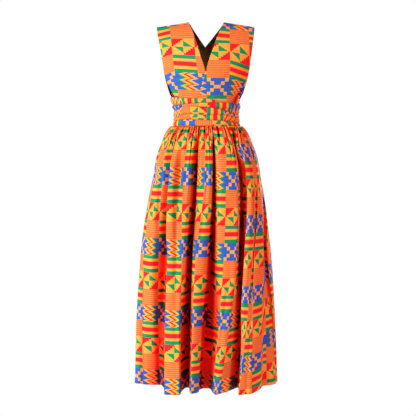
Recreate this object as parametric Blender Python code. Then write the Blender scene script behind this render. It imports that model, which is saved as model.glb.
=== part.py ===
"""Sleeveless wrapped-strap maxi dress in printed cotton, in its worn, hollow form.

Metres, +Z up. The front faces -Y and the wearer's left is +X. Z = 0 is the line
on the shoulders where the dress hangs. Every piece is a wall of cloth between
an outer and an inner grid of points: rows run down, columns run round.
"""

import math

import bpy
import numpy as np

WALL = 0.0013                 # thickness of every cloth wall
GAP = 0.0003                  # clearance between pieces that touch
SKIRT_HEM = -1.3830           # level of the hem at the front folds
SKIRT_TOP = -0.3924           # gathered top edge of the skirt
GATHERS = 44                  # small gathers round the waist seam
GATHER_DEPTH = 0.0085         # depth of a gather at the seam
GATHER_FADE = 0.150           # length over which the gathers die out
COLUMNS_PER_GATHER = 3
SIDE_RISE = 0.006             # the hem rises this much at the sides
VALLEY_LIFT = 0.12            # the hem rises by this share of a valley's depth
SEAM_GAP = 0.00025            # half of the slit between the two skirt panels
BAND_TOP = -0.2880            # hidden waistband that all is sewn to
BAND_BOTTOM = -0.3935
STRAP_STAND = 0.0010          # the straps' clearance over the waistband
OVERSTRAP = 0.0022            # rise of the strap on top where the two cross
OVER_STRAPS = 0.0050          # rise of the wraps where they cover the straps
WRAP_COLUMNS = 38
WRAP_GAP = 0.0006             # slit between two wraps
WRAP_CLIMB = 0.0019           # a wrap winds outwards by this much in one turn
WRAP_LAP = math.radians(7)    # half of the lap where its ends meet
WRAP_BULGE = 0.0042           # a wrap's outward roll at mid height
SHOULDER_DROP = 0.018         # fall of the shoulder from neck to arm

# Outline of the waist, outside the waistband: level, half width, half depths.
BODY = (
    # z, halfWidth, front, back
    (-0.250, 0.1430, 0.1030, 0.0900),
    (-0.270, 0.1345, 0.0985, 0.0885),
    (-0.290, 0.1258, 0.0950, 0.0880),
    (-0.312, 0.1200, 0.0920, 0.0880),
    (-0.340, 0.1196, 0.0910, 0.0890),
    (-0.370, 0.1208, 0.0930, 0.0920),
    (-0.385, 0.1230, 0.0955, 0.0945),
    (-0.394, 0.1248, 0.0975, 0.0965),
)

# Outline round the crests of the skirt's folds.
SKIRT = (
    # z, halfWidth, front, back
    (-0.3924, 0.1349, 0.1072, 0.1062),
    (-0.4010, 0.1475, 0.1170, 0.1170),
    (-0.4160, 0.1575, 0.1240, 0.1250),
    (-0.4400, 0.1700, 0.1320, 0.1340),
    (-0.4760, 0.1850, 0.1420, 0.1450),
    (-0.5200, 0.1965, 0.1500, 0.1530),
    (-0.5800, 0.2065, 0.1560, 0.1590),
    (-0.6600, 0.2200, 0.1620, 0.1650),
    (-0.7600, 0.2340, 0.1670, 0.1710),
    (-0.8800, 0.2460, 0.1710, 0.1750),
    (-1.0200, 0.2570, 0.1750, 0.1790),
    (-1.1600, 0.2655, 0.1780, 0.1820),
    (-1.3830, 0.2720, 0.1810, 0.1850),
)

# Each valley between two large folds. Its cloth is how far round the skirt's cloth
# it lies from the front seam, towards the wearer's right. At three levels it has
# a place, as an angle from the centre front, a depth and a half width.
CLOTH = 2.320
FOLD_LEVELS = (-0.485, -0.830, -1.383)
VALLEYS = (
    # cloth (m), angles (degrees), depths (mm), half widths (mm)
    (0.000, (46.3, 31.4, 24.8), (34.0, 86.0, 84.0), (10.0, 12.0, 13.0)),
    (0.200, (23.1, 19.0, 16.0), (14.0, 4.0, 0.0), (9.0, 12.0, 14.0)),
    (0.265, (8.1, 4.9, -1.2), (22.0, 48.0, 64.0), (10.0, 13.0, 19.0)),
    (0.465, (-15.7, -15.3, -17.2), (22.0, 62.0, 72.0), (10.0, 12.0, 14.0)),
    (0.558, (-33.5, -31.0, -28.0), (13.0, 5.0, 0.0), (9.0, 12.0, 14.0)),
    (0.667, (-56.6, -47.6, -39.2), (14.0, 38.0, 58.0), (12.0, 13.0, 16.0)),
    (0.875, (-104.0, -101.0, -98.0), (12.0, 42.0, 50.0), (12.0, 14.0, 16.0)),
    (1.000, (-126.0, -123.0, -122.0), (16.0, 42.0, 52.0), (12.0, 15.0, 18.0)),
    (1.160, (-151.0, -148.5, -147.0), (24.0, 60.0, 68.0), (11.0, 14.0, 16.0)),
    (1.330, (-178.0, -177.0, -175.0), (18.0, 46.0, 56.0), (11.0, 14.0, 17.0)),
    (1.515, (158.0, 154.0, 151.0), (22.0, 58.0, 66.0), (11.0, 14.0, 16.0)),
    (1.685, (133.0, 128.0, 124.0), (20.0, 54.0, 62.0), (11.0, 14.0, 16.0)),
    (1.831, (110.0, 103.0, 98.0), (14.0, 44.0, 50.0), (12.0, 14.0, 17.0)),
    (1.985, (86.0, 65.3, 48.5), (8.0, 18.0, 38.0), (12.0, 12.0, 14.0)),
    (2.115, (69.0, 46.3, 39.4), (10.0, 60.0, 44.0), (8.0, 8.0, 9.0)),
)

# Down the middle of a strap, from its front end over the shoulder to its back
# end: the body's half width and depth there, then how far each strap's outer
# and inner edges lie from the centre line. The inner edges cross over it.
STRAP = (
    # z, y, halfWidth, outer left, outer right, inner left, inner right
    (-0.3120, -0.0920, 0.1200, 0.1110, 0.1165, -0.0310, -0.0150),
    (-0.2850, -0.0960, 0.1280, 0.1190, 0.1245, -0.0275, -0.0140),
    (-0.2550, -0.1020, 0.1410, 0.1360, 0.1385, -0.0215, -0.0110),
    (-0.2150, -0.1110, 0.1590, 0.1500, 0.1510, -0.0130, -0.0040),
    (-0.1750, -0.1130, 0.1740, 0.1580, 0.1590, -0.0030, 0.0050),
    (-0.1350, -0.1060, 0.1850, 0.1640, 0.1660, 0.0110, 0.0180),
    (-0.0950, -0.0930, 0.1940, 0.1695, 0.1730, 0.0270, 0.0320),
    (-0.0600, -0.0750, 0.2000, 0.1740, 0.1790, 0.0400, 0.0440),
    (-0.0320, -0.0530, 0.2050, 0.1775, 0.1835, 0.0520, 0.0540),
    (-0.0120, -0.0280, 0.2080, 0.1800, 0.1865, 0.0610, 0.0620),
    (-0.0010, 0.0000, 0.2090, 0.1808, 0.1875, 0.0660, 0.0670),
    (-0.0090, 0.0280, 0.2080, 0.1800, 0.1865, 0.0600, 0.0610),
    (-0.0300, 0.0510, 0.2050, 0.1775, 0.1835, 0.0440, 0.0450),
    (-0.0600, 0.0700, 0.2000, 0.1740, 0.1790, 0.0240, 0.0250),
    (-0.1000, 0.0850, 0.1930, 0.1690, 0.1720, -0.0010, 0.0010),
    (-0.1450, 0.0920, 0.1820, 0.1630, 0.1650, -0.0200, -0.0180),
    (-0.2000, 0.0920, 0.1660, 0.1560, 0.1560, -0.0370, -0.0350),
    (-0.2500, 0.0900, 0.1455, 0.1425, 0.1420, -0.0480, -0.0460),
    (-0.3120, 0.0880, 0.1200, 0.1194, 0.1190, -0.0560, -0.0540),
)
STRAP_ROWS = 28
STRAP_COLUMNS = 11

# Edges between the five wraps, as levels at seven places round the waist.
WRAP_PLACES = (-180.0, -72.0, -38.0, 0.0, 32.0, 72.0, 180.0)
WRAP_EDGES = (
    (-0.2850, -0.2810, -0.2850, -0.2880, -0.2985, -0.3060, -0.2850),
    (-0.3060, -0.3110, -0.3080, -0.3025, -0.3020, -0.3085, -0.3060),
    (-0.3270, -0.3300, -0.3160, -0.3195, -0.3300, -0.3480, -0.3270),
    (-0.3490, -0.3580, -0.3440, -0.3480, -0.3490, -0.3590, -0.3490),
    (-0.3700, -0.3700, -0.3645, -0.3680, -0.3700, -0.3790, -0.3700),
    (-0.3908, -0.3908, -0.3885, -0.3900, -0.3905, -0.3908, -0.3908),
)
WRAP_ENDS = (172.0, -168.0, 176.0, -173.0, 168.0)
WRAP_ROLL = ((0.0, 0.06), (0.18, 0.72), (0.5, 1.0), (0.82, 0.76), (1.0, 0.06))

COLOURS = {
    "skirt_front": (0.86, 0.27, 0.07),
    "skirt_back": (0.78, 0.22, 0.06),
    "waistband": (0.45, 0.14, 0.05),
    "strap_left": (0.90, 0.40, 0.09),
    "strap_right": (0.85, 0.33, 0.08),
    "wrap_1": (0.85, 0.10, 0.08),
    "wrap_2": (0.90, 0.52, 0.12),
    "wrap_3": (0.08, 0.36, 0.14),
    "wrap_4": (0.10, 0.17, 0.60),
    "wrap_5": (0.90, 0.45, 0.10),
}


def clear_scene():
    for old in list(bpy.data.objects):
        bpy.data.objects.remove(old, do_unlink=True)


def smooth_read(at, stations, values):
    """Values of a table read at other places, along a smooth curve."""
    stations = np.asarray(stations, float)
    values = np.asarray(values, float)
    if stations[0] > stations[-1]:
        stations = stations[::-1]
        values = values[::-1]
    steps = np.diff(stations)
    rises = np.diff(values) / steps
    slopes = np.zeros(len(values))
    same = rises[1:] * rises[:-1] > 0
    slopes[1:-1][same] = 2 * (rises[1:] * rises[:-1])[same] / (rises[1:] + rises[:-1])[same]
    slopes[0] = rises[0]
    slopes[-1] = rises[-1]
    at = np.clip(np.asarray(at, float), stations[0], stations[-1])
    k = np.clip(np.searchsorted(stations, at) - 1, 0, len(steps) - 1)
    t = (at - stations[k]) / steps[k]
    start = (2 * t**3 - 3 * t**2 + 1) * values[k] + (t**3 - 2 * t**2 + t) * steps[k] * slopes[k]
    end = (3 * t**2 - 2 * t**3) * values[k + 1] + (t**3 - t**2) * steps[k] * slopes[k + 1]
    return start + end


def fade(t):
    t = np.clip(t, 0, 1)
    return t * t * (3 - 2 * t)


def ring(table, z, angle, out=0.0):
    """Points round an oval outline at each level, moved out along its normal."""
    levels, widths, fronts, backs = np.array(table).T
    a = smooth_read(z, levels, widths)
    front = smooth_read(z, levels, fronts)
    back = smooth_read(z, levels, backs)
    b = np.where(np.cos(angle) > 0, front, back)
    x = a * np.sin(angle)
    y = -b * np.cos(angle)
    nx = np.sin(angle) / a
    ny = -np.cos(angle) / b
    length = np.hypot(nx, ny)
    return np.stack([x + out * nx / length, y + out * ny / length, z + 0 * x], -1)


def sheet_normals(points, closed):
    """Unit normals of a grid of points, pointing out of the garment."""
    if closed:
        along = np.roll(points, -1, 1) - np.roll(points, 1, 1)
    else:
        along = np.gradient(points, axis=1)
    down = np.gradient(points, axis=0)
    normals = np.cross(down, along)
    return normals / np.linalg.norm(normals, axis=2, keepdims=True)


def wall(name, outer, inner, closed):
    """A wall between two grids, closed round its rim."""
    rows, columns = outer.shape[:2]
    points = np.concatenate([outer.reshape(-1, 3), inner.reshape(-1, 3)])
    index = np.arange(rows * columns).reshape(rows, columns)
    if closed:
        index = np.concatenate([index, index[:, :1]], 1)
    inside = index + rows * columns
    a = index[:-1, :-1]
    b = index[:-1, 1:]
    c = index[1:, 1:]
    d = index[1:, :-1]
    faces = [np.stack([a, d, c, b], -1).reshape(-1, 4)]
    shift = rows * columns
    faces.append(np.stack([a, b, c, d], -1).reshape(-1, 4) + shift)
    rims = [(index[0], inside[0]), (inside[-1], index[-1])]
    if not closed:
        rims += [(inside[:, 0], index[:, 0]), (index[:, -1], inside[:, -1])]
    for near, far in rims:
        faces.append(np.stack([near[:-1], near[1:], far[1:], far[:-1]], -1))
    mesh = bpy.data.meshes.new(name)
    mesh.from_pydata(points.tolist(), [], np.concatenate(faces).tolist())
    mesh.shade_smooth()
    mesh.set_sharp_from_angle(angle=math.radians(50))
    paint = bpy.data.materials.new(name + "_cotton")
    paint.use_nodes = True
    shader = paint.node_tree.nodes["Principled BSDF"]
    shader.inputs["Base Color"].default_value = (*COLOURS[name], 1)
    shader.inputs["Roughness"].default_value = 0.75
    shader.inputs["Metallic"].default_value = 0
    mesh.materials.append(paint)
    piece = bpy.data.objects.new(name, mesh)
    bpy.context.scene.collection.objects.link(piece)
    return piece


def skirt_row(z, cloth):
    """Points of one level of the skirt at distances round its cloth, and how
    deep each lies in a valley."""
    angle = np.linspace(-math.pi, math.pi, 4001)
    base = ring(SKIRT, z, angle)[:, :2]
    out = ring(SKIRT, z, angle, 1.0)[:, :2] - base
    run = np.hypot(*np.gradient(base, axis=0).T) / (angle[1] - angle[0])
    depth = np.zeros(len(angle))
    centres = []
    for _, places, depths, widths in VALLEYS:
        centre = math.radians(float(smooth_read(z, FOLD_LEVELS, places)))
        deep = float(smooth_read(z, FOLD_LEVELS, depths)) / 1000
        deep *= float(fade((SKIRT_TOP - z) / 0.100))
        half = float(smooth_read(z, FOLD_LEVELS, widths)) / 1000
        away = (angle - centre + math.pi) % (2 * math.pi) - math.pi
        depth += deep * np.exp(-((away * np.interp(centre, angle, run) / half) ** 2))
        centres.append(centre)
    plan = base - out * depth[:, None]
    length = np.concatenate([[0], np.cumsum(np.hypot(*np.diff(plan, axis=0).T))])
    start = np.interp(centres[0], angle, length)
    valleys = (start - np.interp(centres, angle, length)) % length[-1]
    marks = [row[0] for row in VALLEYS] + [CLOTH]
    away = np.interp(cloth % CLOTH, marks, np.append(valleys, length[-1]))
    at = (start - away) % length[-1]
    found = np.stack([np.interp(at, length, column) for column in plan.T], -1)
    normal = np.stack([np.interp(at, length, column) for column in out.T], -1)
    wave = 0.5 + 0.5 * np.cos(2 * math.pi * GATHERS * cloth / CLOTH)
    ease = (1 - float(fade((SKIRT_TOP - z) / GATHER_FADE))) ** 1.5
    found = found - normal * (GATHER_DEPTH * ease * wave)[:, None]
    return np.column_stack([found, np.full(len(cloth), z)]), np.interp(at, length, depth)


def skirt():
    """The gathered skirt, as two panels that meet in the bottoms of valleys."""
    levels = [row[0] for row in SKIRT]
    count = GATHERS * COLUMNS_PER_GATHER
    cloth = -CLOTH * np.arange(count) / count
    rows = []
    for z in levels:
        points, deep = skirt_row(z, cloth)
        down = float(fade((SKIRT_TOP - z) / (SKIRT_TOP - SKIRT_HEM))) ** 3
        side = np.abs(points[:, 0]) / 0.272
        points[:, 2] += down * (VALLEY_LIFT * deep + SIDE_RISE * fade(side))
        rows.append(points)
    middle = np.array(rows)
    before = middle - np.roll(middle, 1, 1)
    after = np.roll(middle, -1, 1) - middle
    before /= np.linalg.norm(before, axis=2, keepdims=True)
    after /= np.linalg.norm(after, axis=2, keepdims=True)
    tangent = before + after
    half_turn = np.linalg.norm(tangent, axis=2, keepdims=True) / 2
    tangent /= 2 * half_turn
    normals = np.cross(np.gradient(middle, axis=0), tangent)
    normals /= np.linalg.norm(normals, axis=2, keepdims=True)
    offset = normals * WALL / 2 / np.maximum(half_turn, 0.5)
    for name, first in (("skirt_back", 0), ("skirt_front", count // 2)):
        columns = (first + np.arange(count // 2 + 1)) % count
        panel = middle[:, columns].copy()
        panel[:, 0] += tangent[:, columns[0]] * SEAM_GAP
        panel[:, -1] -= tangent[:, columns[-1]] * SEAM_GAP
        wall(name, panel + offset[:, columns], panel - offset[:, columns], False)


def waistband():
    levels = np.linspace(BAND_TOP, BAND_BOTTOM, 5)[:, None]
    angle = np.linspace(-math.pi, math.pi, 61)[None, :-1]
    outer = ring(BODY, levels, angle)
    inner = ring(BODY, levels, angle, -WALL)
    wall("waistband", outer, inner, True)


def strap(name, side):
    """A strap from its front end, over the shoulder, to its back end."""
    table = np.array(STRAP)
    ways = np.concatenate([[0], np.cumsum(np.hypot(*np.diff(table[:, :2], axis=0).T))])
    at = np.linspace(0, ways[-1], STRAP_ROWS)
    z, y, a, outer_l, outer_r, inner_l, inner_r = (
        smooth_read(at, ways, column) for column in table.T
    )
    low = fade((-0.258 - z) / 0.015)
    levels, widths, fronts, backs = np.array(BODY).T
    a += low * (smooth_read(z, levels, widths) - a)
    b = np.where(y < 0, -smooth_read(z, levels, fronts), smooth_read(z, levels, backs))
    y += low * (b - y)
    outer_edge = outer_l if side > 0 else outer_r
    inner_edge = inner_l if side > 0 else inner_r
    first = np.arcsin(inner_edge / a)[:, None]
    last = np.arcsin(np.minimum(outer_edge / a, 0.995))[:, None]
    x = a[:, None] * np.sin(first + (last - first) * np.linspace(0, 1, STRAP_COLUMNS + 1))
    round_off = np.sqrt(1 - (x / a[:, None]) ** 2)
    lift = fade(1 + z / 0.110)[:, None]
    slope = SHOULDER_DROP * (x - 0.067) / 0.117
    depth = y[:, None] * round_off
    middle = np.stack([side * x, depth, z[:, None] - lift * slope], -1)
    stand = STRAP_STAND + WALL / 2 + OVERSTRAP * fade(0.5 - side * y / 0.06)
    if side > 0:
        middle = middle[::-1]
        stand = stand[::-1]
    normals = sheet_normals(middle, False)
    middle = middle + normals * stand[:, None, None]
    wall(name, middle + normals * WALL / 2, middle - normals * WALL / 2, False)


def wrap(number):
    """A strap's turn round the waist, rolled out between its two edges."""
    end = math.radians(WRAP_ENDS[number])
    turn = 1 if end > 0 else -1
    share = np.linspace(0, 1, WRAP_COLUMNS + 1)
    angle = end + turn * (2 * math.pi + 2 * WRAP_LAP) * (share - 1) + turn * WRAP_LAP
    angle = np.sort(angle)
    climb = WRAP_CLIMB * (share if turn > 0 else share[::-1])
    place = np.degrees((angle + math.pi) % (2 * math.pi) - math.pi)
    top = smooth_read(place, WRAP_PLACES, WRAP_EDGES[number]) - WRAP_GAP / 2
    bottom = smooth_read(place, WRAP_PLACES, WRAP_EDGES[number + 1]) + WRAP_GAP / 2
    outer = []
    inner = []
    for down, roll in WRAP_ROLL:
        z = top + (bottom - top) * down
        over_straps = OVER_STRAPS * fade((z + 0.328) / 0.012)
        tall = np.clip((top - bottom) / 0.018, 0.15, 1)
        out = GAP + over_straps + climb + WRAP_BULGE * roll * tall
        outer.append(ring(BODY, z, angle, out + WALL))
        inner.append(ring(BODY, z, angle, out))
    wall("wrap_%d" % (number + 1), np.array(outer), np.array(inner), False)


clear_scene()
skirt()
waistband()
strap("strap_left", 1)
strap("strap_right", -1)
for count in range(5):
    wrap(count)
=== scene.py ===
import math
import bpy
import numpy as np
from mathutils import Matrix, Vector


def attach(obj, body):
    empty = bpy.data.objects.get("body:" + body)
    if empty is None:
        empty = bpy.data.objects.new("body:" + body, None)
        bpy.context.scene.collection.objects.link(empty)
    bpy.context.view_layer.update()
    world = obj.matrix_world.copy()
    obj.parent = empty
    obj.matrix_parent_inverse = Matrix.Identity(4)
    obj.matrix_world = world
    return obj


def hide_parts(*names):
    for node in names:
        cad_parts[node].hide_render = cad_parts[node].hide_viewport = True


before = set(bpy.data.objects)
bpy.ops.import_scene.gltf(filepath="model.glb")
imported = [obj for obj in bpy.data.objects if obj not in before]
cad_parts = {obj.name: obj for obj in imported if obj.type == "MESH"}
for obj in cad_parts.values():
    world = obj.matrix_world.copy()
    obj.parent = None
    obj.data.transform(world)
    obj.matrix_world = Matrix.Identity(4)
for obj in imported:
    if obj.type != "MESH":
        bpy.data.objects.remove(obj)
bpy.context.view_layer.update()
print("frame loaded")

# One printed cotton dress. The front faces -Y, the wearer's left is +X, and
# z = 0 is the line on the shoulders where it hangs. Lengths are metres and angles
# radians, unless a note says otherwise.
clothThick = 0.00045          # the cotton itself
columnWide = 0.0850           # the print's strips, seam to seam
rowTall = 0.0650              # each block along a strip
panelWide = 1.160             # one skirt panel laid flat, a full width of the cloth
skirtCloth = 2 * panelWide
skirtTop = -0.3924
skirtHem = -1.3830

# Outline of the waist: level, half width, depth in front, depth behind.
bodyOutline = (
    (-0.250, 0.1430, 0.1030, 0.0900),
    (-0.270, 0.1345, 0.0985, 0.0885),
    (-0.290, 0.1258, 0.0950, 0.0880),
    (-0.312, 0.1200, 0.0920, 0.0880),
    (-0.340, 0.1196, 0.0910, 0.0890),
    (-0.370, 0.1208, 0.0930, 0.0920),
    (-0.385, 0.1230, 0.0955, 0.0945),
    (-0.394, 0.1248, 0.0975, 0.0965),
)

# Outline round the crests of the skirt, in the same columns.
skirtOutline = (
    (-0.3924, 0.1349, 0.1072, 0.1062),
    (-0.4010, 0.1440, 0.1150, 0.1150),
    (-0.4160, 0.1545, 0.1220, 0.1230),
    (-0.4400, 0.1675, 0.1305, 0.1325),
    (-0.4760, 0.1830, 0.1410, 0.1440),
    (-0.5200, 0.1965, 0.1500, 0.1530),
    (-0.5800, 0.2065, 0.1560, 0.1590),
    (-0.6600, 0.2200, 0.1620, 0.1650),
    (-0.7600, 0.2340, 0.1670, 0.1710),
    (-0.8800, 0.2460, 0.1710, 0.1750),
    (-1.0200, 0.2570, 0.1750, 0.1790),
    (-1.1600, 0.2655, 0.1780, 0.1820),
    (-1.3830, 0.2720, 0.1810, 0.1850),
)

# The large folds, point by point round the cloth from the front seam towards the
# wearer's right and on behind: how far round the cloth, its angle at six levels
# from the waist to the hem, how deep it lies inside the oval at the lower five,
# and how far the hem rises there.
foldLevels = (-0.3924, -0.4800, -0.5500, -0.8900, -1.1100, -1.3830)
folds = (
    # cloth (m), angles (degrees), depths (mm), rise (mm)
    (0.000, (46, 53, 48, 47, 36, 32), (55, 42, 80, 62, 72), 2),
    (0.030, (43, 49, 43, 40, 32, 22), (45, 28, 64, 50, 42), 2),
    (0.055, (40, 42, 39, 35, 27.5, 17), (25, 12, 45, 36, 22), 0),
    (0.080, (37, 37.5, 36, 31, 23, 12.5), (8, 0, 25, 20, 9), 0),
    (0.110, (34, 34, 33, 27, 19, 9), (0, -3, 5, 4, 0), -3),
    (0.150, (28, 29, 28, 21.5, 14, 6), (-2, -3, 5, 2, 3), -3),
    (0.180, (23, 24, 22, 16, 11, 5), (-1, -2, 7, 6, 30), -2),
    (0.200, (19, 18.5, 18, 13, 10.5, 4.5), (-1, -1, 12, 24, 72), 0),
    (0.215, (16, 15.5, 15, 10.5, 10, 2.5), (0, 1, 23, 48, 90), 0),
    (0.240, (12, 11.5, 11, 8.5, 7, -2), (9, 16, 58, 74, 93), 0),
    (0.262, (9.5, 10, 10, 7, 1.5, -5.5), (36, 58, 100, 90, 82), 0),
    (0.285, (6.5, 7, 7.5, 3, -2.5, -7), (13, 26, 62, 62, 55), 0),
    (0.300, (4.5, 5, 5, 0, -4, -7), (1, 2, 26, 30, 25), 0),
    (0.342, (0, 0, 0, -8, -10.5, -12), (-1, -1, 12, 5, -3), 0),
    (0.370, (-3.5, -3.5, -3.5, -12, -13, -14), (1, 2, 22, 19, 11), 0),
    (0.395, (-6.5, -6.5, -6.5, -14.5, -15, -15.5), (1, 2, 49, 50, 50), 0),
    (0.420, (-9.5, -9.5, -10, -17, -17.5, -18), (12, 22, 86, 87, 88), 0),
    (0.445, (-12.5, -12.5, -12.5, -20, -20, -19.5), (37, 60, 104, 102, 97), 0),
    (0.470, (-16, -15.5, -15.5, -19.5, -21, -22), (12, 25, 56, 75, 95), 0),
    (0.490, (-18.5, -18, -18, -19.5, -21, -23.5), (1, 2, 24, 49, 85), -2),
    (0.510, (-21.5, -21, -21, -21, -22, -23.5), (-1, -2, 8, 28, 53), -5),
    (0.540, (-27, -27, -27, -24, -23, -22), (-2, -3, 4, 5, 6), -8),
    (0.562, (-31, -31, -31, -28, -26.5, -25), (9, 24, 10, 4, 0), -9),
    (0.585, (-36, -36.5, -36.5, -32, -30.5, -29), (-2, -3, -3, -3, -4), -9),
    (0.610, (-41, -41.5, -42, -38.5, -37, -35), (-2, -3, 4, 2, -4), -8),
    (0.630, (-44, -45.5, -46, -46, -43.5, -40), (16, 36, 50, 40, 30), -4),
    (0.655, (-48, -48.5, -49, -50.5, -49.5, -47), (14, 32, 56, 60, 60), 2),
    (0.690, (-53, -53.5, -53.5, -52.5, -53.5, -56), (-1, 5, 28, 46, 72), 5),
    (0.730, (-60, -60.5, -60.5, -56.5, -57, -58.5), (-2, -3, -2, 20, 52), 7),
    (0.760, (-65, -65.5, -66, -67, -67, -66.5), (-2, -3, -3, 7, 30), 7),
    (0.805, (-76, -77, -78, -85, -83, -78.5), (1, 1, -3, -1, 3), 6),
    (0.855, (-88, -90, -91, -94, -93, -90), (2, 3, -4, -3, -2), 4),
    (0.915, (-102, -102.5, -103, -105, -104.5, -104), (7, 12, 38, 42, 46), 0),
    (0.965, (-113, -113.5, -114, -114, -113.5, -113), (0, 0, 0, -1, -3), -2),
    (1.015, (-124, -124.5, -125, -123, -122.5, -122), (9, 16, 42, 47, 52), 0),
    (1.085, (-138, -138, -138, -135, -135, -135), (-1, -2, -4, -4, -4), -4),
    (1.160, (-151, -151, -151, -148, -147.5, -147), (14, 24, 60, 64, 68), 0),
    (1.245, (-165, -165, -165, -163, -162, -161), (-1, -2, -3, -4, -5), -3),
    (1.335, (-178, -178, -178, -177, -176, -175), (10, 18, 46, 51, 56), 0),
    (1.420, (-190, -190, -190, -191, -191, -191), (-1, -2, -4, -4, -3), -5),
    (1.515, (-203, -203, -203, -206, -207.5, -209), (13, 22, 58, 62, 66), 0),
    (1.595, (-216, -216, -216, -219, -220, -221), (0, 0, -4, -5, -5), -4),
    (1.650, (-226, -226, -226, -231, -231, -231), (8, 14, 38, 42, 46), 0),
    (1.705, (-237, -237, -237, -246, -244.5, -241), (0, 0, -5, -5, -5), -2),
    (1.765, (-247, -247.5, -248, -263, -259.5, -251), (-3, -4, -4, -4, -4), 2),
    (1.815, (-254, -254.5, -255, -273, -269.5, -262), (-3, -4, 1, 0, -3), 5),
    (1.865, (-261, -261, -261, -287, -282.5, -272), (-2, -3, 3, 1, -2), 8),
    (1.920, (-268, -268, -268, -286, -285.5, -284), (-1, -1, 23, 16, 1), 8),
    (1.960, (-275, -276, -277, -293, -293, -293), (0, 0, 10, 9, 8), 8),
    (1.985, (-280, -281.5, -283, -300, -305, -300), (0, 0, 2, 8, 27), 6),
    (2.015, (-285, -286.5, -288, -307, -312, -310), (-2, -3, 0, 0, 12), 0),
    (2.0575, (-291, -292.5, -294, -313.5, -319, -322), (-2, -3, 1, -2, -3), -8),
    (2.100, (-296, -297, -298, -310.5, -322, -328.5), (1, 2, 11, -2, -3), -8),
    (2.1425, (-301, -301.5, -302, -316, -325, -334), (-2, -3, 1, -2, -3), -8),
    (2.165, (-304, -308, -305.5, -319, -326, -334), (-2, -3, 0, 0, 5), -7),
    (2.190, (-306.5, -312, -309, -322, -328, -332), (-2, -3, 0, 3, 23), -6),
    (2.2275, (-309, -316, -313, -324, -329, -329), (0, 4, 12, 14, 46), -3),
    (2.260, (-311, -320, -314, -321, -327.5, -327), (10, 18, 34, 30, 62), 0),
    (2.290, (-312.5, -316.5, -312, -315, -325, -326), (34, 34, 58, 46, 74), 0),
)


def smoothRead(at, stations, values):
    # A curve through the table's points that never overshoots them: each span is
    # a cubic whose end slopes are the harmonic mean of the neighbouring spans'.
    stations = np.asarray(stations, float)
    values = np.asarray(values, float)
    if stations[0] > stations[-1]:
        stations = stations[::-1]
        values = values[::-1]
    steps = np.diff(stations)
    rises = np.diff(values) / steps
    slopes = np.zeros(len(values))
    same = rises[1:] * rises[:-1] > 0
    slopes[1:-1][same] = 2 * (rises[1:] * rises[:-1])[same] / (rises[1:] + rises[:-1])[same]
    slopes[0] = rises[0]
    slopes[-1] = rises[-1]
    at = np.clip(np.asarray(at, float), stations[0], stations[-1])
    k = np.clip(np.searchsorted(stations, at) - 1, 0, len(steps) - 1)
    t = (at - stations[k]) / steps[k]
    start = (2 * t**3 - 3 * t**2 + 1) * values[k] + (t**3 - 2 * t**2 + t) * steps[k] * slopes[k]
    end = (3 * t**2 - 2 * t**3) * values[k + 1] + (t**3 - t**2) * steps[k] * slopes[k + 1]
    return start + end


def fade(t):
    # A soft step from 0 to 1: three t squared less two t cubed.
    t = np.clip(t, 0, 1)
    return t * t * (3 - 2 * t)


def drift(t, seed):
    # A gentle wandering line between about -1 and 1: half the sum of three sines
    # whose rates share no common beat, shifted by the seed.
    return (np.sin(1.7 * t + 2.3 * seed) + 0.6 * np.sin(3.1 * t + 5.1 * seed)
            + 0.4 * np.sin(6.7 * t + 1.9 * seed)) / 2


def ringPoints(table, z, angle, out=0.0):
    # Points round an oval: half width times the sine of the angle across, and the
    # front or back depth times its cosine, moved out along the oval's normal.
    levels, widths, fronts, backs = np.array(table).T
    a = smoothRead(z, levels, widths)
    b = np.where(np.cos(angle) > 0, smoothRead(z, levels, fronts), smoothRead(z, levels, backs))
    x = a * np.sin(angle)
    y = -b * np.cos(angle)
    nx = np.sin(angle) / a
    ny = -np.cos(angle) / b
    size = np.hypot(nx, ny)
    return np.stack([x + out * nx / size, y + out * ny / size, z + 0 * x], -1)


def waves(turn, parts):
    # A sum of sines: each part is its size times the sine of its rate times the
    # turn, plus its shift.
    return sum(size * np.sin(rate * turn + shift) for size, rate, shift in parts)


def gridNormals(points):
    # The cross product of the way down and the way along, which points outwards,
    # over its own length.
    normals = np.cross(np.gradient(points, axis=0), np.gradient(points, axis=1))
    return normals / np.linalg.norm(normals, axis=2, keepdims=True)


def addNode(tree, kind, inputs=(), **settings):
    # Adds one node: settings are its own, and each input links a socket or sets
    # a value, in order, by number or by name.
    made = tree.nodes.new("ShaderNode" + kind)
    for name, value in settings.items():
        setattr(made, name, value)
    pairs = inputs.items() if isinstance(inputs, dict) else enumerate(inputs)
    for place, value in pairs:
        if isinstance(value, bpy.types.NodeSocket):
            tree.links.new(value, made.inputs[place])
        elif value is not None:
            made.inputs[place].default_value = value
    return made


def linear(code):
    # An sRGB hex colour as linear light: each part over 255, then divided by 12.92
    # where dark, or else raised to the power 2.4.
    parts = [int(code[k:k + 2], 16) / 255 for k in (1, 3, 5)]
    return [p / 12.92 if p <= 0.04045 else ((p + 0.055) / 1.055) ** 2.4 for p in parts] + [1.0]


def setRamp(ramp, stops, hard=False):
    # Fills a colour ramp from (place, hex colour) pairs, with hard or soft edges.
    ramp.interpolation = "CONSTANT" if hard else "LINEAR"
    while len(ramp.elements) > 1:
        ramp.elements.remove(ramp.elements[-1])
    ramp.elements[0].position = stops[0][0]
    ramp.elements[0].color = linear(stops[0][1])
    for place, code in stops[1:]:
        ramp.elements.new(place).color = linear(code)


# The print: strips of four blocks that take turns, in these inks.
printInks = {
    "orange": "#EE7236", "ribLight": "#F08E4A", "ribDark": "#EA682F", "yellow": "#F8AA3C",
    "red": "#EE1B28", "green": "#159058", "blue": "#355FB8", "softOrange": "#F38132",
}

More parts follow.
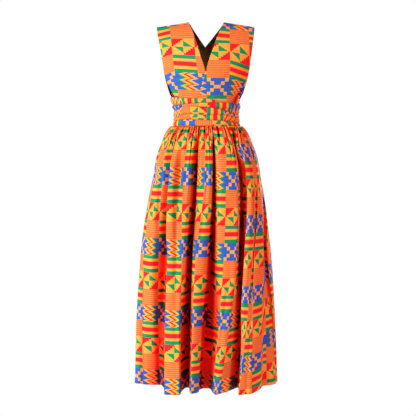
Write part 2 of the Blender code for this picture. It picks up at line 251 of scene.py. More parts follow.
# Each step names a value on the cloth, the sum that gives it, and what it takes.
# x and y run across and down one block; two kinds of strip alternate, and the
# blocks of a strip come round again after four.
printSteps = (
    ("across", "DIVIDE", "u", columnWide),
    ("down", "DIVIDE", "v", rowTall),
    ("x", "FRACT", "across"),
    ("y", "FRACT", "down"),
    ("strip", "FLOOR", "across"),
    ("secondStrip", "FLOORED_MODULO", "strip", 2.0),
    ("block", "FLOOR", "down"),
    ("place", "FLOORED_MODULO", "block", 4.0),
    ("twiceSecond", "MULTIPLY", "secondStrip", 2.0),
    ("stripePlace", "ADD", "twiceSecond", 1.0),
    ("ribPlace", "SUBTRACT", 3.0, "twiceSecond"),
    ("isStripes", "COMPARE", "place", "stripePlace", 0.1),
    ("isRibs", "COMPARE", "place", "ribPlace", 0.1),
    ("isBlue", "LESS_THAN", "place", 0.5),
    # stair triangles: the lower half is the upper half turned half way round
    ("lower", "GREATER_THAN", "y", 0.5),
    ("turnedX", "SUBTRACT", "lower", "x"),
    ("turnedY", "SUBTRACT", "lower", "y"),
    ("halfX", "ABSOLUTE", "turnedX"),
    ("halfY", "ABSOLUTE", "turnedY"),
    ("cellsX", "MULTIPLY", "halfX", 10.0),
    ("cellsY", "MULTIPLY", "halfY", 10.0),
    ("cellX", "FLOOR", "cellsX"),
    ("cellY", "FLOOR", "cellsY"),
    ("cellSum", "ADD", "cellX", "cellY"),
    ("stairs", "LESS_THAN", "cellSum", 4.5),
    ("slope", "MULTIPLY_ADD", "halfY", 1.15, 0.375),
    ("inSlope", "LESS_THAN", "halfX", "slope"),
    ("rightHalf", "GREATER_THAN", "halfX", 0.5),
    ("aboveEdge", "LESS_THAN", "halfY", 0.485),
    ("wedgeA", "MULTIPLY", "inSlope", "rightHalf"),
    ("wedge", "MULTIPLY", "wedgeA", "aboveEdge"),
    ("stairInk", "MULTIPLY_ADD", "stairs", 0.5, "wedge"),
    # crossed checks on blue: six cells by five
    ("sixths", "MULTIPLY", "x", 6.0),
    ("fifths", "MULTIPLY", "y", 5.0),
    ("i", "FLOOR", "sixths"),
    ("j", "FLOOR", "fifths"),
    ("iBack", "SUBTRACT", 5.0, "i"),
    ("jBack", "SUBTRACT", 4.0, "j"),
    ("iIn", "MINIMUM", "i", "iBack"),
    ("jIn", "MINIMUM", "j", "jBack"),
    ("check", "COMPARE", "iIn", "jIn", 0.1),
    # flame on blue: distance from a line that slants out slowly and comes back
    # fast, three times in a block
    ("swings", "MULTIPLY_ADD", "y", 3.0, 0.93),
    ("swing", "FRACT", "swings"),
    ("slowOut", "MULTIPLY", "swing", 1.54),
    ("fastLeft", "SUBTRACT", 1.0, "swing"),
    ("fastBack", "MULTIPLY", "fastLeft", 2.86),
    ("swung", "MINIMUM", "slowOut", "fastBack"),
    ("flameLine", "MULTIPLY_ADD", "swung", 0.33, 0.26),
    ("fromFlame", "SUBTRACT", "x", "flameLine"),
    ("flameInk", "ADD", "fromFlame", 0.5),
    # eight fine ribs on orange
    ("ribs", "MULTIPLY", "y", 16.0),
    ("rib", "PINGPONG", "ribs", 1.0),
)

# How each block takes its inks: the value that it reads, whether its edges are
# hard, and where each ink starts.
printRamps = {
    "stripes": ("y", False, (
        (0.0, "green"), (0.188, "green"), (0.20, "yellow"), (0.32, "yellow"), (0.355, "softOrange"),
        (0.385, "red"), (0.595, "red"), (0.625, "softOrange"), (0.66, "yellow"), (0.775, "yellow"),
        (0.787, "green"))),
    "ribs": ("rib", False, ((0.12, "ribLight"), (0.5, "orange"), (0.95, "ribDark"))),
    "stairs": ("stairInk", True, ((0.0, "yellow"), (0.25, "red"), (0.75, "green"))),
    "checks": ("check", True, ((0.0, "blue"), (0.5, "yellow"))),
    "flame": ("flameInk", True, (
        (0.0, "blue"), (0.25, "yellow"), (0.43, "red"), (0.57, "yellow"), (0.75, "green"),
        (0.86, "blue"))),
}

# A Mix node's settings. Its inputs 0, 6 and 7 are the share and the two colours.
mixed = {"data_type": "RGBA"}
multiplied = {"data_type": "RGBA", "blend_type": "MULTIPLY"}


def printColour(tree, u, v):
    # The printed colour at u across and v down the cloth: the sums above, a ramp
    # of inks for each kind of block, and the block that the cell's place calls for.
    values = {"u": u, "v": v}
    for name, operation, *takes in printSteps:
        takes = [values[t] if isinstance(t, str) else t for t in takes]
        values[name] = addNode(tree, "Math", takes, operation=operation).outputs[0]
    looks = {}
    for name, (source, hard, stops) in printRamps.items():
        ramp = addNode(tree, "ValToRGB", [values[source]])
        setRamp(ramp.color_ramp, [(place, printInks[ink]) for place, ink in stops], hard)
        looks[name] = ramp.outputs[0]
    blues = {0: values["secondStrip"], 6: looks["flame"], 7: looks["checks"]}
    looks["blue"] = addNode(tree, "Mix", blues, **mixed).outputs[2]
    colour = looks["stairs"]
    for block, chosen in (("stripes", "isStripes"), ("ribs", "isRibs"), ("blue", "isBlue")):
        takes = {0: values[chosen], 6: colour, 7: looks[block]}
        colour = addNode(tree, "Mix", takes, **mixed).outputs[2]
    return colour


def startMaterial(name, look):
    # A woven or pressed fibre with no varnish: a typical index of refraction, rough,
    # with little gloss, and a sheen where loose fibres stand up.
    made = bpy.data.materials.new(name)
    made.use_nodes = True
    shader = made.node_tree.nodes["Principled BSDF"]
    for socket, value in (("Roughness", look["roughness"]), ("IOR", 1.5),
                          ("Specular IOR Level", 0.12), ("Sheen Weight", look["sheen"]),
                          ("Sheen Roughness", 0.5)):
        shader.inputs[socket].default_value = value
    return made, made.node_tree, shader


# Plain-weave cotton, wax printed on rollers: flat matt colour with hard edges, a
# slightly uneven dye, and a fine even weave that catches the light. Deep in its
# folds a painted shade reddens the print and then takes it to near black. Its wrong
# side shows the same print soaked half through, brown and dull.
cottonLook = {
    "roughness": 0.68,
    "sheen": 0.02,
    "threadSpacing": 0.0011,   # real threads lie 0.35 mm apart; drawn coarser so that they show
    "weaveHeight": 0.00006,
    "weaveStrength": 0.35,
    "dyePatch": 0.014,         # size of the uneven patches in the dye
    "dyeDetail": 4.0,
    "dyeRange": 0.07,          # how much lighter and darker they are
    "foldStarts": 0.011,       # how deep in a fold the painted shade begins and is full (m)
    "foldEnds": 0.054,
    "foldShade": 0.92,
    # the red of the painted shade in the folds
    "foldShadeTint": "#FF5048",
    "slotStarts": 0.075,       # deeper still, painted shade near black, as if hardly any light is left
    "slotEnds": 0.125,
    "slotShade": 0.85,
    # the near black of the painted shade in the deepest folds
    "slotShadeTint": "#140406",
    "backDull": "#747E8C",     # what the wrong side keeps of each colour, partly painted shade
    "backBrown": "#5A3018",    # and the brown that it turns to, partly painted shade
    "backShare": 0.45,
}


def makeCotton(name, wrongSide=False):
    # The print with painted shade by soft steps of the depth in a fold: mixed with a
    # redder copy and then with near black. Times a cloudy tone of the dye. The weave
    # is a bump: the product of a sine across and a sine down the cloth.
    look = cottonLook
    made, tree, shader = startMaterial(name, look)
    cloth = addNode(tree, "UVMap", uv_map="cloth").outputs[0]
    split = addNode(tree, "SeparateXYZ", [cloth])
    colour = printColour(tree, split.outputs[0], split.outputs[1])
    if wrongSide:
        # the wrong side: dulled and browned, partly the print soaked half through, partly painted
        # shade for the dim inside of the dress
        dull = {0: 1.0, 6: colour, 7: linear(look["backDull"])}
        colour = addNode(tree, "Mix", dull, **multiplied).outputs[2]
        brown = {0: look["backShare"], 6: colour, 7: linear(look["backBrown"])}
        colour = addNode(tree, "Mix", brown, **mixed).outputs[2]
    # painted shade, deep in a fold: the print is reddened, as light that has come through cloth
    # keeps only the reds
    paintedShadeDepth = addNode(tree, "Attribute", attribute_name="paintedShadeDepth").outputs["Fac"]
    folded, slot = (
        addNode(tree, "MapRange", [paintedShadeDepth, look[part + "Starts"], look[part + "Ends"],
                                   0.0, look[part + "Shade"]],
                interpolation_type="SMOOTHSTEP").outputs[0] for part in ("fold", "slot"))
    deeper = addNode(tree, "Mix", {0: 1.0, 6: colour, 7: linear(look["foldShadeTint"])}, **multiplied)
    colour = addNode(tree, "Mix", {0: folded, 6: colour, 7: deeper.outputs[2]}, **mixed).outputs[2]
    # painted shade: near black in the deepest folds
    darkest = {0: slot, 6: colour, 7: linear(look["slotShadeTint"])}
    colour = addNode(tree, "Mix", darkest, **mixed).outputs[2]
    dye = addNode(tree, "TexNoise", {
        "Vector": cloth, "Scale": 1 / look["dyePatch"], "Detail": look["dyeDetail"]})
    low, high = 1 - look["dyeRange"], 1 + look["dyeRange"]
    tone = addNode(tree, "MapRange", [dye.outputs[0], 0.3, 0.7, low, high])
    toned = addNode(tree, "VectorMath", [colour, tone.outputs[0]], operation="MULTIPLY")
    tree.links.new(toned.outputs[0], shader.inputs["Base Color"])
    threads = 2 * math.pi / look["threadSpacing"]
    sines = []
    for part in (split.outputs[0], split.outputs[1]):
        angle = addNode(tree, "Math", [part, threads], operation="MULTIPLY")
        sines.append(addNode(tree, "Math", [angle.outputs[0]], operation="SINE").outputs[0])
    weave = addNode(tree, "Math", sines, operation="MULTIPLY")
    bump = addNode(tree, "Bump", {
        "Strength": look["weaveStrength"], "Distance": look["weaveHeight"],
        "Height": weave.outputs[0]})
    tree.links.new(bump.outputs[0], shader.inputs["Normal"])
    return made


printedCotton = makeCotton("waxPrintedCotton")
cottonBack = makeCotton("waxPrintedCottonBack", wrongSide=True)


def makeCloth(name, node, points, u, v, paintedShadeDepth=0.0, thick=clothThick):
    # A grid of points as a sheet whose faces point outwards, with its place in the
    # print as its UV map, its depth in a fold as an attribute for the painted shade,
    # and its thickness on the inside. It stands for the node.
    rows, columns = points.shape[:2]
    u, v, paintedShadeDepth = (np.broadcast_to(part, (rows, columns)) for part in (u, v, paintedShadeDepth))
    index = np.arange(rows * columns).reshape(rows, columns)
    a, b, c, d = index[:-1, :-1], index[:-1, 1:], index[1:, 1:], index[1:, :-1]
    faces = np.stack([a, d, c, b], -1).reshape(-1, 4)
    mesh = bpy.data.meshes.new(name)
    mesh.vertices.add(rows * columns)
    mesh.vertices.foreach_set("co", points.reshape(-1).astype(np.float32))
    mesh.loops.add(faces.size)
    mesh.loops.foreach_set("vertex_index", faces.reshape(-1).astype(np.int32))
    mesh.polygons.add(len(faces))
    mesh.polygons.foreach_set("loop_start", np.arange(0, faces.size, 4, dtype=np.int32))
    mesh.update(calc_edges=True)
    mesh.shade_smooth()
    layer = mesh.uv_layers.new(name="cloth")
    corners = np.stack([u, v], -1).reshape(-1, 2)[faces.reshape(-1)]
    layer.data.foreach_set("uv", corners.reshape(-1).astype(np.float32))
    mesh.materials.append(printedCotton)
    mesh.materials.append(cottonBack)
    folded = mesh.attributes.new("paintedShadeDepth", "FLOAT", "POINT")
    folded.data.foreach_set("value", paintedShadeDepth.reshape(-1).astype(np.float32))
    piece = bpy.data.objects.new(name, mesh)
    bpy.context.scene.collection.objects.link(piece)
    wall = piece.modifiers.new("thickness", "SOLIDIFY")
    wall.thickness = thick
    wall.offset = -1
    wall.use_even_offset = False
    wall.material_offset = 1
    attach(piece, "root")
    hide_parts(node)
    return piece


# The skirt is gathered to the waistband and falls in large uneven folds.
skirtLook = {
    "rows": 92,
    "columns": 440,            # across each panel
    "seamGap": 0.0002,         # half the gap between the panels at a seam
    "headRows": 5,             # gathered heads that turn in under the wraps
    "headLevel": -0.3912,      # where they meet the waistband
    "headStand": 0.0006,
    "headRise": 0.0010,        # how much they round up on the way
    "headWay": (0.012, 0.001),  # cloth above the crest, at their first and last row
    "rowCrowd": 1.3,           # more than 1 sets the rows closer near the waist
    "gatherCount": 44,
    "gatherDepth": 0.0170,
    "creaseShade": 4.5,        # a gather counts as this much deeper for the painted shade in it
    "gatherFade": 0.175,       # how far down the gathers die out
    "gatherEase": 1.3,
    "gatherSharp": 4.5,        # 1 for round waves, more for narrow creases
    "gatherDrift": 1.3,        # how unevenly the gathers are spaced, in radians
    "fineGather": 0.0045,      # small puckers between the gathers, next to the seam
    "fineFade": 0.060,
    # sums of sines (size, rate, shift) that make the gathers uneven
    "spacing": ((1, 3, 0.4), (0.7, 7, 1.1), (0.5, 13, 2.0)),
    "fineSpacing": ((1.3, 5, 0),),
    "unevenDepth": ((0.35, 11, 0.7), (0.25, 17, 2.2)),
    "unevenReach": ((0.35, 9, 1.0), (0.30, 19, 0)),
    "creaseFade": (0.07, 0.09),  # how softly a lesser crease starts and dies (m)
    "hemTurn": 0.022,          # depth of the hem's turning, which stands a little proud
    "hemThick": 0.0007,
    "tuckPlace": 0.345,        # the tuck's place round the cloth from the front seam
    "tuckLevel": -0.890,       # at this level, and how far it leans for each metre down
    "tuckLean": 0.055,
    "tuckWide": 0.012,
    "tuckRows": 0.070,         # how much higher the print's rows stand past it
    "rowSag": 0.011,           # the print's rows hang lower half way down, by bias stretch
    "sagTop": -0.50,
    "sagTall": 0.88,
    "leftDrop": 0.017,         # and lower still on the fold beside the left seam
    "dropEnds": 0.285,         # up to here round the cloth
    "dropFade": 0.05,
    "dropLess": 0.6,           # how much of that is gone at the hem
}

# Lesser creases between the large folds: how far round the cloth, the levels
# where it starts and dies, its depth, half width, and lean.
softCreases = (
    # cloth (m), start, end, depth (mm), half width (mm), lean (m for each m down)
    (0.060, -0.43, -0.78, 4.0, 11.0, 0.02),
    (0.118, -0.40, -0.62, 5.0, 9.0, -0.05),
    (0.150, -0.95, -1.38, 3.5, 14.0, 0.03),
    (0.330, -0.42, -0.90, 4.5, 12.0, 0.04),
    (0.380, -1.05, -1.38, 4.0, 16.0, -0.05),
    (0.412, -0.40, -0.58, 5.0, 8.0, 0.03),
    (0.515, -0.42, -0.70, 4.0, 10.0, 0.00),
    (0.610, -0.80, -1.38, 5.0, 15.0, 0.04),
    (0.720, -0.42, -0.80, 5.0, 12.0, -0.05),
    (0.780, -0.90, -1.38, 6.0, 18.0, 0.03),
    (0.830, -0.40, -0.66, 5.0, 10.0, 0.05),
    (0.930, -0.55, -1.20, 5.0, 15.0, -0.03),
    (1.070, -0.42, -0.85, 6.0, 13.0, 0.04),
    (1.110, -1.00, -1.38, 5.0, 17.0, -0.02),
    (1.235, -0.42, -0.95, 6.0, 14.0, 0.03),
    (1.290, -0.90, -1.38, 4.0, 15.0, 0.04),
    (1.410, -0.42, -0.80, 6.0, 13.0, -0.04),
    (1.450, -0.95, -1.38, 5.0, 17.0, 0.02),
    (1.590, -0.42, -1.00, 6.0, 14.0, 0.03),
    (1.640, -1.00, -1.38, 4.0, 13.0, -0.03),
    (1.750, -0.42, -0.86, 6.0, 13.0, 0.05),
    (1.900, -0.60, -1.38, 6.0, 17.0, -0.03),
    (1.945, -0.40, -0.66, 5.0, 10.0, 0.04),
    (2.078, -1.00, -1.38, 2.0, 13.0, 0.03),
    (2.170, -0.44, -0.80, 4.0, 10.0, -0.03),
    (2.235, -0.42, -1.10, 4.5, 13.0, 0.03),
)


def skirtLevel(z, cloth):
    # One level of the skirt: a closed curve through the folds' points, each span a
    # cubic whose end slopes point from the point before to the point after. Along
    # its normal go the gathers, a cosine raised to a power so that it is narrow, and
    # the lesser creases, which are bell curves. Returns x, y, z and the depth for
    # the painted shade.
    look = skirtLook
    down = skirtTop - z
    marks = np.array([row[0] for row in folds] + [skirtCloth])
    angle = np.radians([smoothRead(z, foldLevels, row[1]) for row in folds])
    deep = np.array([smoothRead(z, foldLevels, (0,) + row[2]) for row in folds]) / 1000
    spots = ringPoints(skirtOutline, z, angle, -deep)[:, :2]
    spots = np.vstack([spots, spots[:1]])
    before = np.append(marks[-2] - skirtCloth, marks[:-1])
    after = np.append(marks[1:], skirtCloth + marks[1])
    slopes = np.vstack([spots[1:], spots[1:2]]) - np.vstack([spots[-2:-1], spots[:-1]])
    slopes /= (after - before)[:, None]
    place = cloth % skirtCloth
    k = np.clip(np.searchsorted(marks, place, side="right") - 1, 0, len(folds) - 1)
    span = (marks[k + 1] - marks[k])[:, None]
    t = (place - marks[k])[:, None] / span
    ends = spots[k + 1] - spots[k]
    plan = (spots[k] + (3 * t**2 - 2 * t**3) * ends
            + span * ((t**3 - 2 * t**2 + t) * slopes[k] + (t**3 - t**2) * slopes[k + 1]))
    along = (6 * t - 6 * t**2) * ends + span * (
        (3 * t**2 - 4 * t + 1) * slopes[k] + (3 * t**2 - 2 * t) * slopes[k + 1])
    normal = np.stack([-along[:, 1], along[:, 0]], -1) / np.linalg.norm(along, axis=1)[:, None]
    turn = 2 * math.pi * cloth / skirtCloth
    phase = look["gatherCount"] * turn + look["gatherDrift"] * waves(turn, look["spacing"])
    uneven = 1 + waves(turn, look["unevenDepth"])
    reach = look["gatherFade"] * (1 + waves(turn, look["unevenReach"]))
    ease = (1 - fade(down / reach)) ** look["gatherEase"]
    narrow = (0.5 + 0.5 * np.cos(phase)) ** look["gatherSharp"]
    inward = look["gatherDepth"] * uneven * ease * narrow
    fine = look["fineGather"] * (1 - fade(down / (look["fineFade"] * uneven)))
    inward += fine * np.cos(2 * phase + waves(turn, look["fineSpacing"]))
    starts, dies = look["creaseFade"]
    for centre, first, last, depth, half, lean in softCreases:
        window = fade((first - z) / starts)
        if last > skirtHem + 0.01:  # the others run out over the hem
            window = window * fade((z - last) / dies)
        off = (cloth - centre - lean * (first - z) + skirtCloth / 2) % skirtCloth - skirtCloth / 2
        inward += window * depth / 1000 * np.exp(-((off * 1000 / half) ** 2))
    inward = inward - look["hemThick"] * (z < skirtHem + look["hemTurn"])
    plan = plan - normal * inward[:, None]
    # painted shade: the fold's depth, with the gathers and creases counted deeper
    paintedShadeDepth = np.interp(place, marks, np.append(deep, deep[0])) + look["creaseShade"] * inward
    rise = np.interp(place, marks, [row[3] / 1000 for row in folds] + [folds[0][3] / 1000])
    return np.column_stack([plan, z + rise * fade(down / (skirtTop - skirtHem)) ** 3, paintedShadeDepth])


def skirtPoints(cloth):
    # The skirt's grid at these distances round its cloth: level by level down to the
    # hem, with the gathered heads above, which curve in to the waist as a quarter
    # sine. Returns the points with their painted shade, and the way down.
    look = skirtLook
    share = np.linspace(0, 1, look["rows"])
    levels = skirtTop + (skirtHem - skirtTop) * share ** look["rowCrowd"]
    stitches = skirtHem + look["hemTurn"] + np.array([-0.0010, 0.0010])
    levels = np.sort(np.append(levels, stitches))[::-1]
    crest = smoothRead(levels, *np.array(skirtOutline)[:, [0, 2]].T)
    way = np.concatenate([[0], np.cumsum(np.hypot(np.diff(levels), np.diff(crest)))])
    rows = [skirtLevel(z, cloth) for z in levels]
    top = rows[0][:, :3]
    halfWidth, depth = skirtOutline[0][1:3]
    angle = np.arctan2(top[:, 0] / halfWidth, -top[:, 1] / depth)
    level = np.full(len(cloth), look["headLevel"])
    waist = ringPoints(bodyOutline, level, angle, look["headStand"])
    heads = []
    for step in np.linspace(0, 1, look["headRows"] + 1)[:-1]:
        point = waist + (top - waist) * math.sin(step * math.pi / 2)
        rise = look["headRise"] * math.sin(step * math.pi)
        point[:, 2] = waist[:, 2] + rise + (top[:, 2] - waist[:, 2]) * step**2
        heads.append(np.column_stack([point, rows[0][:, 3]]))
    headWay = -np.linspace(*look["headWay"], look["headRows"])
    return np.array(heads + rows), np.concatenate([headWay, way])


skirtPanels = {
    # name: node, cloth at its first and last column, print's zero across and down, way up
    "skirtFrontCloth": ("skirt_front", panelWide, 0.000, 0.100, 0.1572, 1),
    "skirtBackCloth": ("skirt_back", skirtCloth, panelWide, 2.2275, 0.915, -1),
}


def skirtPrint(points, cloth, run, across, downZero, way):
    # The place in the print: the way round and the way down the cloth, less a soft
    # step where the tuck is, a half sine for the sag, and the drop beside the seam.
    look = skirtLook
    z = points[..., 2]
    u = way * (across - cloth)
    # past the tuck at the wearer's left the rows of the print stand higher
    tuck = look["tuckPlace"] + look["tuckLean"] * (z[:, :1] - look["tuckLevel"])
    onBack = cloth[None] > panelWide
    past = fade((skirtCloth - cloth[None] - tuck) / look["tuckWide"])
    v = (way * (run - downZero))[:, None] - look["tuckRows"] * np.where(onBack, past, 0)
    down = np.clip((look["sagTop"] - z) / look["sagTall"], 0, 1)
    beside = fade((look["dropEnds"] - cloth[None]) / look["dropFade"])
    drop = look["leftDrop"] * beside * (1 - look["dropLess"] * down)
    return u, v - way * (look["rowSag"] * np.sin(math.pi * down) + drop)


for name, (node, first, last, *printPlace) in skirtPanels.items():
    gap = skirtLook["seamGap"]
    cloth = np.linspace(first - gap, last + gap, skirtLook["columns"])
    points, run = skirtPoints(cloth)
    paintedShadeDepth, points = points[..., 3], points[..., :3]
    u, v = skirtPrint(points, cloth, run, *printPlace)
    piece = makeCloth(name, node, points, u, v, paintedShadeDepth)
print("skirt made")


# The waistband lies hidden under the wraps: the waist's oval carried down.
bandLook = {
    "rows": 16,
    "columns": 161,
    "top": -0.2880,
    "bottom": -0.3935,
    "radius": 0.108,           # the band's length over a full turn, for the print
    "thick": 0.0009,           # two layers of the cotton
}
bandRows = np.linspace(bandLook["top"], bandLook["bottom"], bandLook["rows"])[:, None]
bandAngle = np.linspace(-math.pi, math.pi, bandLook["columns"])[None, :]
piece = makeCloth("waistbandCloth", "waistband", ringPoints(bodyOutline, bandRows, bandAngle),
                  -bandAngle * bandLook["radius"], -bandRows, thick=bandLook["thick"])
print("waistband made")


# Two wide straps cross over at the waist and go over the shoulders.
strapLook = {
    "rows": 190,
    "columns": 56,
    "sitsFrom": -0.258,        # below this level the straps lie on the waist's oval
    "sitsFade": 0.015,
    "shoulderDrop": 0.018,     # how far the arm's edge hangs below the neck's edge
    "dropFrom": 0.067,
    "dropWide": 0.117,
    "dropFade": 0.110,
    "stand": 0.00185,          # how far a strap stands off the body's oval
    "overstrap": 0.0022,       # and how much further where it lies on the other
    "overFade": 0.06,
    "hemWide": 0.007,          # narrow turned edge, sewn down
    "hemThick": 0.0005,
    "hemFade": 0.0012,
    # a pull counts as this much deeper for the painted shade in it
    "creaseShade": 12.0,
    "pullDepth": 0.35,         # how much of a pull's depth the strap itself gives; the rest is painted shade
    "backPulls": 0.25,         # and how deep the same pull is behind
    "pullFrom": 0.03,          # a pull is full up to here from the strap's end (m)
    "bandTop": 0.018,          # below here it is only painted shade, where the wraps cover it
    "bandFade": 0.02,
    "topRow": 10,              # the row of strapLine that is on the shoulder
}

# Down the straps from the front end to the back end: the level, the body's depth
# and half width there, then how far from the middle the straps' edges lie.
strapLine = (
    # z, y, half width, outer left, outer right, inner left, inner right
    (-0.3120, -0.0920, 0.1200, 0.1110, 0.1165, -0.0310, -0.0150),
    (-0.2850, -0.0960, 0.1280, 0.1190, 0.1245, -0.0275, -0.0140),
    (-0.2550, -0.1020, 0.1410, 0.1360, 0.1385, -0.0215, -0.0110),
    (-0.2150, -0.1110, 0.1590, 0.1500, 0.1510, -0.0120, -0.0020),
    (-0.1750, -0.1130, 0.1740, 0.1580, 0.1590, 0.0003, 0.0068),
    (-0.1350, -0.1060, 0.1850, 0.1640, 0.1660, 0.0130, 0.0200),
    (-0.0950, -0.0930, 0.1940, 0.1695, 0.1730, 0.0270, 0.0320),
    (-0.0600, -0.0750, 0.2000, 0.1740, 0.1790, 0.0400, 0.0440),
    (-0.0320, -0.0530, 0.2050, 0.1775, 0.1835, 0.0520, 0.0540),
    (-0.0120, -0.0280, 0.2080, 0.1800, 0.1865, 0.0610, 0.0620),
    (-0.0010, 0.0000, 0.2090, 0.1808, 0.1875, 0.0660, 0.0670),
    (-0.0090, 0.0280, 0.2080, 0.1800, 0.1865, 0.0600, 0.0610),
    (-0.0300, 0.0510, 0.2050, 0.1775, 0.1835, 0.0445, 0.0475),
    (-0.0600, 0.0700, 0.2000, 0.1740, 0.1790, 0.0200, 0.0265),
    (-0.1000, 0.0850, 0.1930, 0.1690, 0.1720, -0.0130, -0.0020),
    (-0.1450, 0.0920, 0.1820, 0.1630, 0.1650, -0.0270, -0.0190),
    (-0.2000, 0.0920, 0.1660, 0.1560, 0.1560, -0.0370, -0.0350),
    (-0.2500, 0.0900, 0.1455, 0.1425, 0.1420, -0.0480, -0.0460),
    (-0.3120, 0.0880, 0.1200, 0.1194, 0.1190, -0.0560, -0.0540),
)

# Pull creases on each strap that run up from the waist and die out, in front and
# behind; each is darkened with painted shade by its full depth, though the strap
# dips by only part of it. The left strap is side 1 and the right one side -1.
strapPulls = (
    # side, share across from the inner edge, length (m), depth (mm), half width and
    # lean as shares of the strap's width
    (1, 0.30, 0.075, 1.6, 0.045, 0.10),
    (1, 0.55, 0.055, 1.8, 0.040, -0.12),
    (1, 0.76, 0.080, 3.0, 0.040, 0.10),
    (1, 0.85, 0.055, 10.0, 0.050, 0.05),
    (-1, 0.25, 0.070, 1.6, 0.045, 0.10),
    (-1, 0.60, 0.085, 2.0, 0.050, -0.10),
    (-1, 0.86, 0.060, 2.2, 0.040, 0.10),
    (-1, 0.93, 0.085, 10.0, 0.065, 0.05),
)


# How the print lies on each strap: straight on the left one, and leaning in
# towards the waist on the right one. Rates are slopes, and the rest is metres.
strapPrints = {
    # name: left strap, right strap
    "across": (0.1718, -0.0493),     # the print's place at the middle of the body
    "down": (0.3206, 0.2967),        # and on the shoulder
    "lean": (0.0, 0.10),             # rate at which the strips lean in
    "leanLevel": (0.042, 0.042),     # this far down they meet their place
    "lowFrom": (0.175, 0.150),       # this far down the strap draws together
    "lowFade": (0.10, 0.10),
    "lowLean": (0.0, 0.06),          # rate of more lean below that
    "pinch": (0.17, 0.0),            # and of cloth taken up all across
    "gather": (0.18, 0.20),          # rate of cloth taken up past gatherEdge
    "lowGather": (0.25, 0.25),       # and more of it low down
    "gatherEdge": (0.085, 0.1345),
    "lowEdge": (0.0, 0.030),         # how much nearer that edge lies low down
    "droop": (0.30, 0.28),           # rate at which the rows droop past droopEdge
    "droopTop": (0.0, 0.14),         # and the same at all levels
    "droopFrom": (0.065, 0.070),
    "droopFade": (0.10, 0.12),
    "droopEdge": (0.090, 0.128),
    "inner": (0.0, 0.08),            # rate at which they droop towards the neck
    "topLift": (0.008, 0.020),       # how far they are lifted at the shoulder
    "topReach": (0.13, 0.13),        # and how far in front of it that ends
    "turn": (0.30, 0.25),            # rate at which they rise there past turnEdge
    "turnEdge": (0.090, 0.130),
    "turnFade": (0.075, 0.060),
}


def strapPoints(side):
    # Rows across the body's oval between the strap's two edges, carried from the
    # waist over the shoulder and down to the waist behind, and tilted down to the
    # arm near the top. Along the normal go the pulls, each a bell curve across the
    # strap that dies out upwards, and the turned edges. Returns the points, the way
    # from the shoulder, the distance towards the arm, the level and the painted shade.
    look = strapLook
    table = np.array(strapLine)
    ways = np.concatenate([[0], np.cumsum(np.hypot(*np.diff(table[:, :2], axis=0).T))])
    at = np.linspace(0, ways[-1], look["rows"])
    z, y, a, outerL, outerR, innerL, innerR = (smoothRead(at, ways, column) for column in table.T)
    low = fade((look["sitsFrom"] - z) / look["sitsFade"])
    levels, widths, fronts, backs = np.array(bodyOutline).T
    a += low * (smoothRead(z, levels, widths) - a)
    b = np.where(y < 0, -smoothRead(z, levels, fronts), smoothRead(z, levels, backs))
    y += low * (b - y)
    outerEdge = outerL if side > 0 else outerR
    innerEdge = innerL if side > 0 else innerR
    share = np.linspace(0, 1, look["columns"])
    first = np.arcsin(innerEdge / a)[:, None]
    last = np.arcsin(np.minimum(outerEdge / a, 0.995))[:, None]  # just short of the side
    toArm = a[:, None] * np.sin(first + (last - first) * share)
    roundOff = np.sqrt(1 - (toArm / a[:, None]) ** 2)
    lift = fade(1 + z / look["dropFade"])[:, None]
    slope = look["shoulderDrop"] * (toArm - look["dropFrom"]) / look["dropWide"]
    middle = np.stack([side * toArm, y[:, None] * roundOff, z[:, None] - lift * slope], -1)
    stand = look["stand"] + look["overstrap"] * fade(0.5 - side * y / look["overFade"])
    stand = np.repeat(stand[:, None], len(share), 1)
    paintedShadeDepth = np.zeros_like(stand)
    for across, long, deep, half, lean in (pull[1:] for pull in strapPulls if pull[0] == side):
        # in front, then the same ones behind, shallower
        for ends, tilt, most in ((at, lean, 1), (ways[-1] - at, -lean, look["backPulls"])):
            ends = ends[:, None]
            off = (share[None] - across - tilt * ends / long) / half
            up = 1 - fade((ends - look["pullFrom"]) / long)
            inward = most * deep / 1000 * up * np.exp(-off**2)
            clear = fade((ends - look["bandTop"]) / look["bandFade"])
            stand = stand - look["pullDepth"] * inward * clear
            # painted shade of the pull, also low down where the strap does not dip
            paintedShadeDepth = paintedShadeDepth + look["creaseShade"] * inward
    wide = np.linalg.norm(middle[:, -1] - middle[:, 0], axis=1)[:, None]
    edge = np.minimum(share, 1 - share)[None] * wide
    stand = stand + look["hemThick"] * (1 - fade((edge - look["hemWide"]) / look["hemFade"]))
    way = ways[look["topRow"]] - at
    made = middle, stand, way, toArm, z, paintedShadeDepth
    if side > 0:  # so that the faces point outwards on both straps
        made = [part[::-1] for part in made]
    middle, stand, way, toArm, z, paintedShadeDepth = made
    return middle + gridNormals(middle) * stand[..., None], way, toArm, z, paintedShadeDepth


